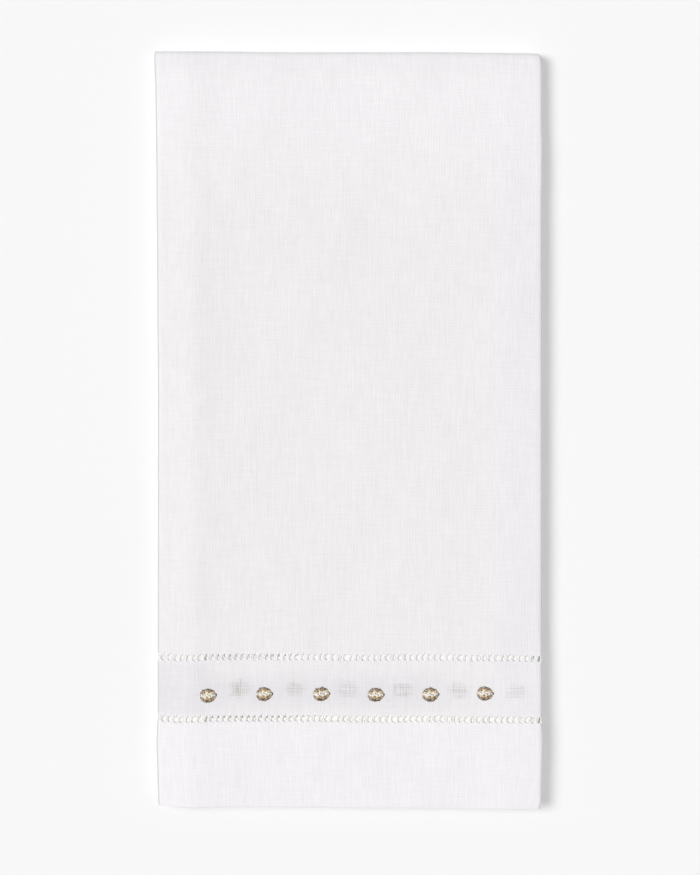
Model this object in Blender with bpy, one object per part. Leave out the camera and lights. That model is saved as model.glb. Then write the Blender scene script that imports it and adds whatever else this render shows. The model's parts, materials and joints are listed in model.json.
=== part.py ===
"""A white linen hand towel, folded in thirds and then once across, with hemstitched rows and six dots.

Metres, +Z up. The folded towel lies face up on z = 0, with its top fold towards +Y and its hemmed end
towards -Y. The origin is under the middle of the folded towel.

The cloth is one closed solid. Across the towel its section runs back and forth in three layers: the right
flap, the right fold, the front panel, the left fold and the left flap. That section is carried up the front
half, round the top fold and down the back half, which makes six layers. A last step gives the level stack
the uneven outline, the sunken sides and the soft relief of pressed linen.
"""

import bmesh
import bpy
import numpy as np

# The cloth, laid out.
CLOTH_WIDTH = 0.3556
CLOTH_THICKNESS = 0.001
HEM_THICKNESS = 0.00115
END_HEM_DEPTH = 0.0296
SIDE_HEM_DEPTH = 0.006

# The folded towel.
PANEL_WIDTH = 0.129
FOLDED_LENGTH = 0.255
BACK_END_SHORT = 0.003
LAYER_PITCH = 0.0014
LAYERS = 6
STACK_HEIGHT = (LAYERS - 1) * LAYER_PITCH + CLOTH_THICKNESS
EDGE_ROUND = 0.0004

# The mesh: parts to each fold, and the stretches, as (end, parts), that the front panel and the two halves
# are divided into. The parts are small where the relief is.
FOLD_PARTS = 6
TOP_FOLD_PARTS = 8
FLAP_PARTS = 4
PANEL_STRETCHES = (
    (0.054, 4), (0.042, 4), (0.030, 1), (-0.030, 4), (-0.042, 2), (-0.058, 8), (-0.0615, 1),
)
FRONT_HALF_STRETCHES = ((-0.080, 2), (-0.060, 2), (0.080, 4), (0.110, 3))
BACK_HALF_STRETCHES = ((0.080, 2), (-0.060, 2))

# The two hemstitched rows, low relief in the front face.
ROW_PLACES_Y = (-0.0772, -0.0979)
ROW_REACH = 0.0624
SPACES_IN_A_ROW = 62
SPACE_WIDTH = 0.0011
SPACE_LENGTH = 0.0024
SPACE_LEAN = 0.0003
SPACE_DEPTH = 0.00055
LEAN_CHANGE = 2.4

# The embroidered dots, from left to right.
DOT_PLACES = (
    (-0.0476, -0.0897), (-0.0287, -0.0892), (-0.0095, -0.0892),
    (0.0088, -0.0894), (0.0272, -0.0894), (0.0455, -0.0890),
)
DOT_WIDTH = 0.0058
DOT_LENGTH = 0.0049
DOT_RISE = 0.0009
DOT_CLEARANCE = 0.0003
DOT_SIDES = 20
DOT_RINGS = 10

# The uneven outline: rows of (place along the edge, how far the edge stands out there).
LEFT_EDGE = (
    (-0.1275, -0.0003), (-0.118, -0.0002), (-0.107, 0.0001), (-0.095, -0.0002), (0.014, -0.0002),
    (0.045, 0.0), (0.085, 0.0003), (0.110, 0.0006), (0.1275, 0.0012),
)
RIGHT_EDGE = (
    (-0.1275, -0.0004), (-0.117, 0.0), (-0.107, 0.0003), (-0.095, 0.0), (0.075, 0.0),
    (0.090, 0.0003), (0.110, 0.0), (0.1275, -0.0004),
)
TOP_EDGE = (
    (-0.0645, 0.0), (-0.038, 0.0002), (-0.028, 0.0), (0.036, 0.0), (0.045, -0.0002), (0.0645, -0.0005),
)
FRONT_END = (
    (-0.0645, -0.0006), (-0.056, 0.0), (-0.044, -0.0004), (-0.012, -0.0003), (0.004, 0.0),
    (0.030, 0.0001), (0.040, 0.0004), (0.0645, 0.0005),
)

# Past the flaps' edges each side of the stack has four layers and not six, so it sinks there.
LEFT_SINK = {"depth": 0.0011, "starts": -0.054, "ends": -0.066}
RIGHT_SINK = {"depth": 0.0009, "starts": 0.0545, "ends": 0.066}

# The soft relief of the front face: ridges and troughs that run along the towel, how much of them shows
# along it as (place, share), the rise towards the thick hem and the fall towards the top fold.
LENGTHWISE_RELIEF = (
    {"centre": -0.0525, "half_width": 0.0045, "height": 0.00060},
    {"centre": -0.0472, "half_width": 0.0030, "height": -0.00018},
    {"centre": 0.0530, "half_width": 0.0065, "height": 0.00045},
)
RELIEF_SHARE = ((-0.1275, 0.5), (-0.100, 0.6), (-0.085, 1.0), (0.080, 1.0), (0.105, 0.55), (0.1275, 0.3))
HEM_RISE = {"height": 0.0005, "starts": -0.060, "ends": -0.098}
FOLD_FALL = {"height": -0.0007, "starts": 0.084, "ends": 0.126}

# Finishes: colour, roughness.
LINEN = ((0.86, 0.85, 0.84, 1.0), 0.92)
EMBROIDERY_THREAD = ((0.60, 0.49, 0.34, 1.0), 0.45)
SMOOTH_UP_TO = np.radians(40)


def clear_scene():
    for thing in list(bpy.data.objects):
        bpy.data.objects.remove(thing, do_unlink=True)


def finish(name, colour, roughness):
    """A Principled material of one colour."""
    material = bpy.data.materials.new(name)
    material.use_nodes = True
    shader = material.node_tree.nodes["Principled BSDF"]
    shader.inputs["Base Color"].default_value = colour
    shader.inputs["Roughness"].default_value = roughness
    shader.inputs["Metallic"].default_value = 0.0
    material.diffuse_color = colour
    return material


def stations(start, *stretches):
    """Places along a line: from start through each stretch of (end, parts), each divided evenly."""
    places = [start]
    for end, parts in stretches:
        places.extend(np.linspace(places[-1], end, parts + 1)[1:])
    return np.array(places)


def smooth_step(start, end, value):
    """0 at start, 1 at end, with level ends between them."""
    share = np.clip((value - start) / (end - start), 0.0, 1.0)
    return share * share * (3.0 - 2.0 * share)


def read_table(table, place):
    """The table's value at a place, with a soft run between one row and the next."""
    places, values = np.array(table).T
    row = np.clip(np.searchsorted(places, place) - 1, 0, len(places) - 2)
    share = smooth_step(places[row], places[row + 1], place)
    return values[row] + (values[row + 1] - values[row]) * share


def section():
    """The cloth's middle line across the towel, from the right flap's edge to the left flap's edge.

    Gives x, the height above the stack's middle plane, the direction of travel as an angle, and the
    thickness. Both folds turn left, so the line winds inwards: each fold is half a circle between two
    straight runs.
    """
    right_radius = LAYER_PITCH / 2
    left_radius = LAYER_PITCH
    right_centre = PANEL_WIDTH / 2 - CLOTH_THICKNESS / 2 - right_radius
    left_centre = -PANEL_WIDTH / 2 + CLOTH_THICKNESS / 2 + left_radius
    folds_length = np.pi * (right_radius + left_radius)
    panel_run = right_centre - left_centre
    # What the panel and the folds leave of the cloth goes to two flaps that reach equally far past x = 0.
    flap_edge = (CLOTH_WIDTH - folds_length - 2 * panel_run) / 2
    hem_line = flap_edge - SIDE_HEM_DEPTH

    right_flap = stations(
        -flap_edge, (-hem_line, 1), (-hem_line + EDGE_ROUND, 1), (right_centre, FLAP_PARTS),
    )
    panel = stations(right_centre, *PANEL_STRETCHES, (left_centre, 1))
    left_flap = stations(left_centre, (hem_line - EDGE_ROUND, FLAP_PARTS), (hem_line, 1), (flap_edge, 1))
    turn = np.linspace(0.0, np.pi, FOLD_PARTS + 1)[1:-1]

    x = np.concatenate([
        right_flap,
        right_centre + right_radius * np.sin(turn),
        panel,
        left_centre - left_radius * np.sin(turn),
        left_flap,
    ])
    height = np.concatenate([
        np.full(len(right_flap), 1.5 * LAYER_PITCH),
        2.0 * LAYER_PITCH - right_radius * np.cos(turn),
        np.full(len(panel), 2.5 * LAYER_PITCH),
        1.5 * LAYER_PITCH + left_radius * np.cos(turn),
        np.full(len(left_flap), 0.5 * LAYER_PITCH),
    ])
    heading = np.concatenate([
        np.zeros(len(right_flap)),
        turn,
        np.full(len(panel), np.pi),
        np.pi + turn,
        np.full(len(left_flap), 2 * np.pi),
    ])
    thickness = np.full(len(x), CLOTH_THICKNESS)
    thickness[:2] = HEM_THICKNESS
    thickness[-2:] = HEM_THICKNESS
    return x, height, heading, thickness


def lengthwise_rows():
    """The section's places along the towel: up the front half, round the top fold, down the back half.

    Gives, for each row, the y of the section's middle plane, the direction in which its height is laid
    off, as y and z, whether it lies in the end hem, and the share of the thickness that it has.
    """
    front_end = -FOLDED_LENGTH / 2
    back_end = front_end + BACK_END_SHORT
    fold_centre = FOLDED_LENGTH / 2 - STACK_HEIGHT / 2
    hem_line = front_end + END_HEM_DEPTH
    front = stations(
        front_end, (front_end + EDGE_ROUND, 1), (hem_line, 3), (hem_line + EDGE_ROUND, 1),
        *FRONT_HALF_STRETCHES, (fold_centre, 2),
    )
    back = stations(
        fold_centre, *BACK_HALF_STRETCHES, (hem_line + EDGE_ROUND, 1), (hem_line, 1),
        (back_end + EDGE_ROUND, 1), (back_end, 1),
    )
    turn = np.linspace(0.0, np.pi, TOP_FOLD_PARTS + 1)[1:-1]
    y = np.concatenate([front, np.full(len(turn), fold_centre), back])
    out_y = np.concatenate([np.zeros(len(front)), np.sin(turn), np.zeros(len(back))])
    out_z = np.concatenate([np.ones(len(front)), np.cos(turn), -np.ones(len(back))])
    hemmed = y < hem_line + EDGE_ROUND / 2
    share = np.ones(len(y))
    share[[0, -1]] = 0.5
    return y, out_y, out_z, hemmed, share


def underside(layer):
    """The height of a layer's underside in the level stack. Layer 0 lies lowest."""
    return layer * LAYER_PITCH


def upper_side(layer):
    """The height of a layer's upper side in the level stack."""
    return layer * LAYER_PITCH + CLOTH_THICKNESS


def sink(x, z):
    """How far the stack sinks at its sides, where the hollows past the flaps' edges close a little.

    At the left the right flap is missing between layers 0 and 2 and between layers 3 and 5. At the right
    the left flap is missing between layers 1 and 4. A hollow shrinks evenly, and layers keep their height.
    """
    left_hollows = [upper_side(0), underside(2), upper_side(3), underside(5)]
    right_hollow = [upper_side(1), underside(4)]
    left = LEFT_SINK["depth"] * smooth_step(LEFT_SINK["starts"], LEFT_SINK["ends"], x)
    right = RIGHT_SINK["depth"] * smooth_step(RIGHT_SINK["starts"], RIGHT_SINK["ends"], x)
    left *= np.interp(z, left_hollows, [0.0, 0.5, 0.5, 1.0])
    right *= np.interp(z, right_hollow, [0.0, 1.0])
    return left + right


def relief(x, y):
    """The front face's height above or below the level stack's."""
    height = np.zeros(np.shape(x))
    for form in LENGTHWISE_RELIEF:
        height += form["height"] * np.exp(-(((x - form["centre"]) / form["half_width"]) ** 2))
    height *= read_table(RELIEF_SHARE, y)
    for form in (HEM_RISE, FOLD_FALL):
        height += form["height"] * smooth_step(form["starts"], form["ends"], y)
    return height


def settle(points):
    """Moves points of the level stack to where they lie in the real one.

    Each edge's unevenness fades linearly across the towel. The relief stretches the heights, so that the
    layers never meet, the front face shows all of it and the underside stays flat.
    """
    x, y, z = points[..., 0], points[..., 1], np.maximum(points[..., 2], 0.0)
    rightwards = x / PANEL_WIDTH + 0.5
    upwards = y / FOLDED_LENGTH + 0.5
    moved_x = x + read_table(RIGHT_EDGE, y) * rightwards - read_table(LEFT_EDGE, y) * (1 - rightwards)
    moved_y = y + read_table(TOP_EDGE, x) * upwards - read_table(FRONT_END, x) * (1 - upwards)
    moved_z = (z - sink(x, z)) * (1.0 + relief(x, y) / STACK_HEIGHT)
    return np.stack([moved_x, moved_y, moved_z], axis=-1)


def cloth_points():
    """The solid's points, one ring of them for each row along the towel, and the line's point count.

    A ring holds the line's left side, the far edge's nose, the right side backwards and the near edge's
    nose.
    """
    x, height, heading, thickness = section()
    row_y, out_y, out_z, hemmed, share = lengthwise_rows()
    normal = np.stack([-np.sin(heading), np.cos(heading)], axis=1)
    travel = np.stack([np.cos(heading), np.sin(heading)], axis=1)
    middle = np.stack([x, height], axis=1)
    count = len(x)
    order = np.concatenate([np.arange(count), [count - 1], np.arange(count)[::-1], [0]])
    sideways = np.concatenate([normal, travel[-1:], -normal[::-1], -travel[:1]])

    thick = np.where(hemmed[:, None], HEM_THICKNESS, thickness[None, :])[:, order]
    half = thick / 2 * share[:, None]
    ring = middle[order][None, :, :] + sideways[None, :, :] * half[:, :, None]
    points = np.stack([
        ring[:, :, 0],
        row_y[:, None] + ring[:, :, 1] * out_y[:, None],
        STACK_HEIGHT / 2 + ring[:, :, 1] * out_z[:, None],
    ], axis=-1)
    return settle(points), count


def cloth_faces(rows, count):
    """Four-sided faces between neighbouring rings, and a cap of cross strips at each end of the cloth."""
    ring = 2 * count + 2
    here = np.arange(ring)
    after = (here + 1) % ring
    faces = []
    for row in range(rows - 1):
        low, high = row * ring, (row + 1) * ring
        faces += np.stack([low + here, low + after, high + after, high + here], axis=1).tolist()
    near = np.arange(count)
    far = ring - 2 - near
    for first in (0, (rows - 1) * ring):
        strips = np.stack([near[:-1], near[1:], far[1:], far[:-1]], axis=1) + first
        faces += strips.tolist()
        faces.append([first + count - 1, first + count, first + count + 1])
        faces.append([first + ring - 2, first + ring - 1, first])
    return faces


def mesh_object(name, points, faces, material):
    """A new object whose faces all point outwards."""
    mesh = bpy.data.meshes.new(name)
    mesh.from_pydata(np.asarray(points).reshape(-1, 3).tolist(), [], faces)
    shell = bmesh.new()
    shell.from_mesh(mesh)
    bmesh.ops.recalc_face_normals(shell, faces=shell.faces)
    shell.to_mesh(mesh)
    shell.free()
    mesh.shade_smooth()
    mesh.set_sharp_from_angle(angle=SMOOTH_UP_TO)
    mesh.materials.append(material)
    made = bpy.data.objects.new(name, mesh)
    bpy.context.scene.collection.objects.link(made)
    return made


def front_height(x, y):
    """The height of the front face over a place on the level stack."""
    return settle(np.array([x, y, STACK_HEIGHT]))[2]


def space_ring(x, y, lean):
    """The outline of one open space: a long six-sided shape whose ends lean apart sideways."""
    corners = np.array([(-0.5, -0.3), (0.0, -0.5), (0.5, -0.3), (0.5, 0.3), (0.0, 0.5), (-0.5, 0.3)])
    ring = np.zeros((6, 3))
    ring[:, 0] = x + corners[:, 0] * SPACE_WIDTH + corners[:, 1] * lean
    ring[:, 1] = y + corners[:, 1] * SPACE_LENGTH
    return ring


def add_open_spaces(towel, middle, material):
    """Cuts the shallow spaces of the two hemstitched rows with one cutter that holds a prism for each."""
    points, faces = [], []
    low = np.arange(6)
    turned = np.roll(low, -1)
    walls = np.stack([low, turned, turned + 6, low + 6], axis=1)
    for row_y in ROW_PLACES_Y:
        for number, x in enumerate(np.linspace(-ROW_REACH, ROW_REACH, SPACES_IN_A_ROW)):
            ring = space_ring(x, row_y, SPACE_LEAN * np.sin(LEAN_CHANGE * number))
            ring[:, :2] -= middle
            floor = front_height(x, row_y) - SPACE_DEPTH
            first = len(points)
            points += (ring + [0.0, 0.0, floor]).tolist()
            points += (ring + [0.0, 0.0, floor + 3 * SPACE_DEPTH]).tolist()
            faces += [(first + low[::-1]).tolist(), (first + 6 + low).tolist()]
            faces += (first + walls).tolist()
    cutter = mesh_object("hemstitch_cutter", points, faces, material)
    cutter.hide_render = True
    cutter.display_type = "WIRE"
    cut = towel.modifiers.new("hemstitch", "BOOLEAN")
    cut.operation = "DIFFERENCE"
    cut.solver = "EXACT"
    cut.object = cutter


def add_dot(number, x, y, middle, material):
    """One padded satin stitch dot: a ball flattened into a low oval dome with a level underside."""
    shell = bmesh.new()
    bmesh.ops.create_uvsphere(shell, u_segments=DOT_SIDES, v_segments=DOT_RINGS, radius=1.0)
    for point in shell.verts:
        point.co.x *= DOT_WIDTH / 2
        point.co.y *= DOT_LENGTH / 2
        point.co.z = max(point.co.z, 0.0) * DOT_RISE
    mesh = bpy.data.meshes.new(f"dot_{number}")
    shell.to_mesh(mesh)
    shell.free()
    mesh.shade_smooth()
    mesh.set_sharp_from_angle(angle=SMOOTH_UP_TO)
    mesh.materials.append(material)
    dot = bpy.data.objects.new(f"dot_{number}", mesh)
    cloth_under = max(front_height(x + side * DOT_WIDTH / 2, y) for side in (-1, 0, 1))
    dot.location = (x - middle[0], y - middle[1], cloth_under + DOT_CLEARANCE)
    bpy.context.scene.collection.objects.link(dot)


def build():
    clear_scene()
    linen = finish("linen", *LINEN)
    thread = finish("embroidery_thread", *EMBROIDERY_THREAD)
    points, count = cloth_points()
    # The uneven outline shifts the towel's box a little, so everything is moved back over the origin.
    middle = (points[..., :2].min(axis=(0, 1)) + points[..., :2].max(axis=(0, 1))) / 2
    points[..., :2] -= middle
    towel = mesh_object("towel", points, cloth_faces(len(points), count), linen)
    add_open_spaces(towel, middle, linen)
    for number, (x, y) in enumerate(DOT_PLACES, start=1):
        add_dot(number, x, y, middle, thread)


build()
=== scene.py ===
# %% [markdown]
# # A folded linen hand towel
#
# This lesson dresses a white guest towel. The real one is a single length of fine linen with a deep hem. Two
# rows of drawn thread hemstitching cross it above the hem, and small beige dots are embroidered between the
# rows. It is folded in thirds along its length, both flaps behind, and then once across.
#
# The imported solids are the fixed frame: they give the size and the place of everything. The lesson starts by
# loading them, and centres the finished towel on their box.

import json

import bpy
import numpy as np
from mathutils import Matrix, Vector

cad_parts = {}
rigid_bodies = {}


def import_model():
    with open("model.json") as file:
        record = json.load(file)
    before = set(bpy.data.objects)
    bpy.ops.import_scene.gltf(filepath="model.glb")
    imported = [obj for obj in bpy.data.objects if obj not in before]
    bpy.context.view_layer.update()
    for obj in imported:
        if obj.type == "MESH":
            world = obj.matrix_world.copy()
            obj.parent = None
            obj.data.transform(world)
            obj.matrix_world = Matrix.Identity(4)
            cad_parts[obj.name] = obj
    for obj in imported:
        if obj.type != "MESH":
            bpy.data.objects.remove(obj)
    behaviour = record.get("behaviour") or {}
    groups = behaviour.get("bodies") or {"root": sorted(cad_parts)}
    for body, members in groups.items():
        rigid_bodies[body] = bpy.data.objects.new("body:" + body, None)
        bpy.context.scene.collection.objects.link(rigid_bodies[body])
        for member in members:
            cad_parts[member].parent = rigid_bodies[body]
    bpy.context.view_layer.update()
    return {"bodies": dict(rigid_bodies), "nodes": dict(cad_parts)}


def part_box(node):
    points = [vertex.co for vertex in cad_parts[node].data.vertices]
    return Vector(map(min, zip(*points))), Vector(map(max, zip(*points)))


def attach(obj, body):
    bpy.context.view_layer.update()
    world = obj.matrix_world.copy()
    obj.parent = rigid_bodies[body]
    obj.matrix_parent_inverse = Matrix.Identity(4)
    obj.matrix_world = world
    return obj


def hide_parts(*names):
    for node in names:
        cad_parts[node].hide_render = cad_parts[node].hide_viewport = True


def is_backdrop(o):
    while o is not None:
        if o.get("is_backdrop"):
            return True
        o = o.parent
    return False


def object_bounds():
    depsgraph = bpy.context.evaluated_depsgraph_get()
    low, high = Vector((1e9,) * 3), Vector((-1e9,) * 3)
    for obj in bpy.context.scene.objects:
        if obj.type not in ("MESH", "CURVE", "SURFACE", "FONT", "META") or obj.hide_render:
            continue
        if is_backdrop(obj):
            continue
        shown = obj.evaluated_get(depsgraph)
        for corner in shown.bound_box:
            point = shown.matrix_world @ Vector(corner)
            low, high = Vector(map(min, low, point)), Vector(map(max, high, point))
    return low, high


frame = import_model()
body = next(iter(frame["bodies"]))
print("frame:", sorted(frame["nodes"]), "on body", body)

# %% [markdown]
# ## The cloth, laid out and folded
#
# All sizes are in metres. The cloth was cut to 14 by 20 inches. The panel's width, the folded length and the
# height of the stack are the frame's. Linen of this weight is less than half a millimetre thick, and the
# hem is doubled and pressed. Six layers share the height, so the space between their middle lines follows.

# %% Sizes of the cloth
MM = 0.001
CLOTH_WIDTH = 0.3556
PANEL_WIDTH = 0.129
FOLDED_LENGTH = 0.255
BACK_END_SHORT = 0.003
STACK_HEIGHT = 0.008
LAYERS = 6
LINEN_THICKNESS = 0.40 * MM
HEM_THICKNESS = 0.58 * MM
SIDE_HEM_THICKNESS = 0.46 * MM
SIDE_HEM_DEPTH = 6 * MM
# The threads of the cloth. The hemstitch gathers the warp by fours.
BUNDLE_COUNT = 175
THREADS_IN_BUNDLE = 4
BUNDLE_PITCH = CLOTH_WIDTH / BUNDLE_COUNT
WARP_PITCH = BUNDLE_PITCH / THREADS_IN_BUNDLE
WEFT_PITCH = 0.50 * MM
LAYER_PITCH = (STACK_HEIGHT - LINEN_THICKNESS) / (LAYERS - 1)
FRONT_END_Y = -FOLDED_LENGTH / 2
BACK_END_Y = FRONT_END_Y + BACK_END_SHORT
print(f"layers {LAYER_PITCH / MM:.2f} mm apart, cloth {LINEN_THICKNESS / MM:.2f} mm thick")

# %% [markdown]
# ## Folding as a formula
#
# A point of the cloth has two coordinates, as on a pattern drawing: `across`, measured from the right flap's
# edge, and `along`, measured from the hemstitched end. Folding turns these two into a place in space.
#
# The fold could be made with a simulation, but a pressed towel has crisp, known folds. So each
# direction is a line of straight runs and half circles, and the length along that line tells how far each
# run and each turn has got. Everything on the towel, such as threads and stitches, goes through the same
# function, so it always lies on the cloth.

# %% Across: flap, fold, panel, fold, flap
RIGHT_RADIUS = LAYER_PITCH / 2
LEFT_RADIUS = LAYER_PITCH
RIGHT_CENTRE = PANEL_WIDTH / 2 - LINEN_THICKNESS / 2 - RIGHT_RADIUS
LEFT_CENTRE = LINEN_THICKNESS / 2 + LEFT_RADIUS - PANEL_WIDTH / 2
PANEL_RUN = RIGHT_CENTRE - LEFT_CENTRE
FLAP_EDGE = (CLOTH_WIDTH - np.pi * (RIGHT_RADIUS + LEFT_RADIUS) - 2 * PANEL_RUN) / 2
RIGHT_FOLD_AT = FLAP_EDGE + RIGHT_CENTRE
PANEL_AT = RIGHT_FOLD_AT + np.pi * RIGHT_RADIUS
LEFT_FOLD_AT = PANEL_AT + PANEL_RUN
LEFT_FLAP_AT = LEFT_FOLD_AT + np.pi * LEFT_RADIUS
# The iron presses a fold squarer than a half circle: 1 would be round.
SIDE_POWER = 0.72
TOP_POWER = 0.66


def part_of(place, start, length):
    """How much of a stretch lies behind a place: 0 before the stretch, its whole length past it."""
    return np.clip(place - start, 0.0, length)


def squared(share, power):
    """A sine or cosine with its size raised to a power under one, which makes a circle squarer."""
    return np.sign(share) * np.abs(share) ** power


def fold_across(across):
    """x, height above the stack's middle, and heading of the line across the towel.

    Straight runs add their length to x with the sign of their direction. A fold adds radius times the
    squared sine of its angle to x, and radius times (1 - squared cosine) to the height. The heading is
    the sum of the angles.
    """
    right_turn = part_of(across, RIGHT_FOLD_AT, np.pi * RIGHT_RADIUS) / RIGHT_RADIUS
    left_turn = part_of(across, LEFT_FOLD_AT, np.pi * LEFT_RADIUS) / LEFT_RADIUS
    x = part_of(across, 0.0, RIGHT_FOLD_AT) - FLAP_EDGE
    x = x + RIGHT_RADIUS * squared(np.sin(right_turn), SIDE_POWER)
    x = x - part_of(across, PANEL_AT, PANEL_RUN) - LEFT_RADIUS * squared(np.sin(left_turn), SIDE_POWER)
    x = x + part_of(across, LEFT_FLAP_AT, CLOTH_WIDTH)
    height = 1.5 * LAYER_PITCH + RIGHT_RADIUS * (1 - squared(np.cos(right_turn), SIDE_POWER))
    height = height - LEFT_RADIUS * (1 - squared(np.cos(left_turn), SIDE_POWER))
    return x, height, right_turn + left_turn


print(f"the flaps' edges lie {FLAP_EDGE / MM:.1f} mm past the middle")

# %% Along: front half, top fold, back half
TOP_CENTRE_Y = FOLDED_LENGTH / 2 - STACK_HEIGHT / 2
FRONT_RUN = TOP_CENTRE_Y - FRONT_END_Y
BACK_RUN = TOP_CENTRE_Y - BACK_END_Y
TOP_RADIUS = 1.5 * LAYER_PITCH
BACK_AT = FRONT_RUN + np.pi * TOP_RADIUS
ALONG_END = BACK_AT + BACK_RUN


def fold_along(along):
    """y of the line along the towel, and how far it has turned round the top fold, from 0 to pi."""
    turn = part_of(along, FRONT_RUN, np.pi * TOP_RADIUS) / TOP_RADIUS
    y = FRONT_END_Y + part_of(along, 0.0, FRONT_RUN) - part_of(along, BACK_AT, BACK_RUN)
    return y, turn


print(f"along the cloth: {ALONG_END / MM:.0f} mm with the top fold")

# %% [markdown]
# ## Pressed, but not perfect
#
# A folded towel is never a true rectangle. Its edges wander by a fraction of a millimetre, its sides sink
# where a flap is missing underneath, and a flap's edge below prints through as a soft ridge and trough.
# Short tables hold these, one row a place, and soft steps join the rows. The layers ripple a little
# too, so the edges of the stack aren't ruled lines.

# %% Tables of the uneven outline and relief
LEFT_EDGE = (
    (-127.5, -0.6), (-126.3, -0.3), (-118, -0.05), (-107, 0.25), (-95, -0.05), (14, -0.05),
    (45, 0.15), (85, 0.45), (110, 0.75), (125.5, 1.2), (126.6, 1.2), (127.5, 0.8),
)
RIGHT_EDGE = (
    (-127.5, -0.3), (-125.5, 0.1), (-117, 0.3), (-107, 0.6), (-95, 0.35), (75, 0.35),
    (90, 0.6), (110, 0.4), (124.5, 0.3), (126.3, 0.1), (127.5, -0.2),
)
TOP_EDGE = (
    (-64.5, 0.9), (-63.2, 0.3), (-38, 0.2), (-28, 0.0), (36, 0.0), (45, -0.2), (60, -0.35), (63, -0.5),
    (64.5, -0.7),
)
FRONT_END = (
    (-64.5, -1.2), (-63.5, -0.9), (-56, -0.4), (-44, -0.8), (-12, -0.7), (4, -0.4), (30, -0.3),
    (40, 0.0), (63, 0.1), (64.5, 0.0),
)
# How far the rows wander towards the top fold, more than the hem's end does, and between which places.
ROWS_WANDER = ((-64.5, 0.0), (-45, 0.1), (-30, 0.25), (10, 0.25), (30, 0.45), (50, 0.5), (64.5, 0.35))
WANDER_BELOW = (-0.127, -0.102)
WANDER_ABOVE = (-0.045, -0.072)
# How far towards the top fold a flap's own drawn rows lie from the front panel's. The right flap's cloth is
# a little askew, so its lower row and its upper row differ.
RIGHT_FLAP_LOWER = ((-48.7, 1.1), (-24, 1.1), (-15, 1.6), (-8, 2.15), (61, 2.15), (63.5, 1.8))
RIGHT_FLAP_UPPER = (
    (-48.7, 2.0), (-44.5, 1.1), (-40, 0.55), (-30, 0.7), (-20, 1.3), (-12, 2.1), (59, 2.1), (62.5, 0.5),
)
LEFT_FLAP_DRIFT = ((-64.5, 2.1), (-48, 2.1), (-40, 2.2), (48.7, 2.3))
BETWEEN_ROWS = (-0.095, -0.080)
DRIFT_FADES = (0.06, 0.11)
LEFT_SINK = {"size": 0.85 * MM, "starts": -0.054, "ends": -0.066}
RIGHT_SINK = {"size": 0.1 * MM, "starts": 0.0545, "ends": 0.066}
RIGHT_SPRING = {"size": 1.6 * MM, "starts": 0.050, "ends": 0.061}
LENGTHWISE_RELIEF = (
    {"centre": -51.9, "half_width": 4.5, "height": 0.40},
    {"centre": -49.4, "half_width": 8.0, "height": 0.26},
    {"centre": 52.0, "half_width": 7.0, "height": 0.26},
)
RELIEF_SHARE = ((-127.5, 0.5), (-100, 0.6), (-85, 1.0), (80, 1.0), (105, 0.55), (127.5, 0.3))
HEM_RISE = {"size": 0.5 * MM, "starts": -0.060, "ends": -0.098}
FOLD_FALL = {"size": -0.7 * MM, "starts": 0.084, "ends": 0.126}
# Near the hemmed end the flaps are pressed up: the space that closes over a layer, by the way from the end.
# What is left of the layers' pitch is just over a hem's thickness at 24 mm, and a side hem's at 38 mm.
SPACE_OVER_FLAP = ((0, 0.15), (12, 0.40), (24, 0.86), (32, 0.86), (38, 0.99), (60, 0.99), (130, 0.0))
# Where a flap rises past the other one's edge, and over what distance the rise fades at the side folds.
PAST_RIGHT_FLAP = (-48.5 * MM, -49.7 * MM)
PAST_LEFT_FLAP = (50.5 * MM, 54.5 * MM)
FRONT_FADE = 2.4 * MM
BACK_FADE = 4.0 * MM
# Waves: height and wavelengths across and along in millimetres, and the phase.
STACK_WAVES = (
    (0.10, 61.0, 143.0, 0.4), (0.07, -37.0, 88.0, 2.1), (0.05, 23.0, -51.0, 4.4), (0.03, -15.0, -34.0, 1.3),
)
FLAP_WAVES = ((0.12, 70.0, 57.0, 1.1), (0.08, -41.0, 33.0, 3.0), (0.05, 19.0, -24.0, 5.2))
# Where a flap lies loose: its distance from the middle and from the hemmed end in millimetres, and its y.
LOOSE_FROM_MIDDLE = (62, 52)
LOOSE_FROM_END = (60, 130)
LOOSE_BELOW_FOLD = (0.12, 0.09)


def smooth_step(start, end, value):
    """0 at start, 1 at end, with level ends between them."""
    share = np.clip((value - start) / (end - start), 0.0, 1.0)
    return share * share * (3.0 - 2.0 * share)


def stepped(form, place):
    """A form that grows to its whole size with a soft step between two places."""
    return form["size"] * smooth_step(form["starts"], form["ends"], place)


def read_table(table, place):
    """A table in millimetres read at a place in metres, with a soft run between one row and the next."""
    places, values = np.array(table).T * MM
    row = np.clip(np.searchsorted(places, place) - 1, 0, len(places) - 2)
    share = smooth_step(places[row], places[row + 1], place)
    return values[row] + (values[row + 1] - values[row]) * share


# %% Settling the level stack
def sink(x, z):
    """How far the stack sinks at its sides, where the hollows past the flaps' edges close a little.

    On the right, the fold of the back half springs open and rises into the hollow instead.
    """
    half = LINEN_THICKNESS / 2
    middles = half + np.arange(LAYERS) * LAYER_PITCH
    left_hollows = [middles[0] + half, middles[2] - half, middles[3] + half, middles[5] - half]
    back_fold = [middles[0] + half, middles[1] + half, middles[4] - half]
    sunk = stepped(LEFT_SINK, x) * np.interp(z, left_hollows, [0.0, 0.5, 0.5, 1.0])
    sunk = sunk + stepped(RIGHT_SINK, x) * np.interp(z, back_fold[1:], [0.0, 1.0])
    return sunk - stepped(RIGHT_SPRING, x) * np.interp(z, back_fold, [0.0, 1.0, 0.0])


def waves(table, first, second):
    """A sum of sines, each of a slanting line over two coordinates."""
    turns = 2 * np.pi / MM
    return sum(
        height * MM * np.sin(turns * (first / length_first + second / length_second) + phase)
        for height, length_first, length_second, phase in table
    )


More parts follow.
